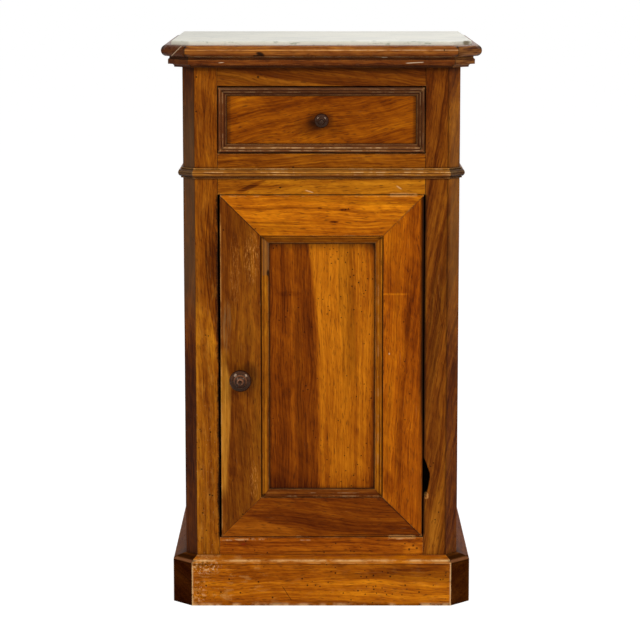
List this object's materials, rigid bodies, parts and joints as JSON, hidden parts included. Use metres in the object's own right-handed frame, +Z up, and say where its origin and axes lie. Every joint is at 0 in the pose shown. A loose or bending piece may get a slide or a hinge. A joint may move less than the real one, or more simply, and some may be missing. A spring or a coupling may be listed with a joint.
{
  "type": "bedside pot cupboard",
  "caption": "Walnut bedside pot cupboard with canted front corners, marble top, moulded drawer over a panelled door, on a moulded plinth",
  "frame": {"origin": "on the floor, below the middle of the bounding box", "axes": "+Z up, -Y towards the front with its drawer and door, +X to the right seen from the front"},
  "size_m": [0.448, 0.3746, 0.805],
  "materials": {
    "marble": "honed white marble, worn and slightly yellowed",
    "walnut": "old walnut, waxed",
    "walnut_light": "light golden walnut, waxed",
    "walnut_dark": "dark walnut, waxed",
    "walnut_panel": "figured walnut with worm holes, waxed",
    "walnut_mouldings": "reddish brown walnut mouldings, waxed",
    "turned_walnut": "turned walnut, polished by use",
    "ebonised_wood": "ebonised turned wood, satin",
    "poplar": "bare aged poplar",
    "iron": "forged iron, dark with light rust",
    "brass": "dull brass"
  },
  "bodies": {
    "cabinet": {"marble_top": "marble", "top_moulding_front": "walnut_mouldings", "top_moulding_cants": "walnut_mouldings", "top_moulding_left": "walnut_mouldings", "top_moulding_right": "walnut_mouldings", "front_post_left": "walnut", "front_post_right": "walnut", "side_board_left": "walnut", "side_board_right": "walnut", "top_rail": "walnut_light", "middle_rail": "walnut", "bottom_rail": "walnut", "back_top_rail": "poplar", "string_front": "walnut_mouldings", "string_cants": "walnut_mouldings", "string_left": "walnut_mouldings", "string_right": "walnut_mouldings", "plinth_front": "walnut_light", "plinth_cants": "walnut_dark", "plinth_left": "walnut", "plinth_right": "walnut", "back_board_left": "poplar", "back_board_middle": "poplar", "back_board_right": "poplar", "back_nails": "iron", "cupboard_floor": "walnut_dark", "dust_board": "poplar", "shelf": "walnut", "shelf_cleats": "poplar", "door_stop": "walnut_dark", "drawer_runners": "poplar", "drawer_guides": "poplar", "drawer_kickers": "poplar", "hinge_frame_leaves": "brass", "hinge_frame_screws": "iron"},
    "drawer": {"drawer_front": "walnut_light", "drawer_moulding_top": "walnut_mouldings", "drawer_moulding_bottom": "walnut_mouldings", "drawer_moulding_left": "walnut_mouldings", "drawer_moulding_right": "walnut_mouldings", "drawer_side_left": "poplar", "drawer_side_right": "poplar", "drawer_back": "poplar", "drawer_bottom": "poplar", "drawer_knob": "ebonised_wood"},
    "door": {"door_stile_left": "walnut", "door_stile_right": "walnut_light", "door_rail_top": "walnut_light", "door_rail_bottom": "walnut", "door_panel": "walnut_panel", "door_moulding_top": "walnut_mouldings", "door_moulding_bottom": "walnut_mouldings", "door_moulding_left": "walnut_mouldings", "door_moulding_right": "walnut_mouldings", "hinge_door_leaves": "brass", "hinge_washers": "brass", "hinge_door_screws": "iron"},
    "latch": {"door_knob": "turned_walnut", "latch_spindle": "iron", "latch_tongue": "iron"}
  },
  "joints": [
    {"name": "drawer_slide", "type": "slide", "parent": "cabinet", "child": "drawer", "axis": [0, -1, 0], "range_m": [0, 0.24]},
    {"name": "door_hinge", "type": "hinge", "parent": "cabinet", "child": "door", "pos_m": [0.1325, -0.14725, 0.3431], "axis": [0, 0, 1], "range_deg": [0, 115]},
    {"name": "latch_turn", "type": "hinge", "parent": "door", "child": "latch", "pos_m": [-0.1145, -0.15275, 0.328], "axis": [0, 1, 0], "range_deg": [0, 90]}
  ]
}
